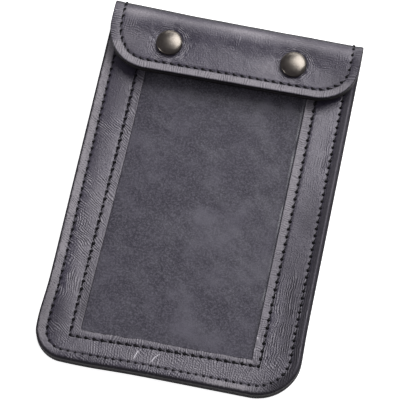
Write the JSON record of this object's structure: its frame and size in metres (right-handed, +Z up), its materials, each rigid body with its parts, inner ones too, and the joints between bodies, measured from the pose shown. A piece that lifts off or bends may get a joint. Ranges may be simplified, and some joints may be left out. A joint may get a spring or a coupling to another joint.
{
  "type": "motorcycle tank bag",
  "caption": "Flat leather tank pouch with a clear window in its front and a fold-over flap that closes with domed press studs.",
  "frame": {"origin": "Centre of the back, on the surface that the pouch lies on", "axes": "+X to the pouch's right as seen from its front, +Y towards the fold at its top, +Z up out of its front"},
  "size_m": [0.1416, 0.208, 0.021],
  "materials": {
    "leather": "satin, fine grain, black thread",
    "lining": "matt suede side",
    "film": "clear, slightly hazy",
    "metal": "antique gunmetal, polished"
  },
  "bodies": {
    "root": {"back_and_flap": "leather", "lining": "lining", "front_frame": "leather", "window_film": "film", "snap_cap_left": "metal", "snap_cap_right": "metal", "snap_stud_left": "metal", "snap_stud_right": "metal"}
  },
  "joints": []
}
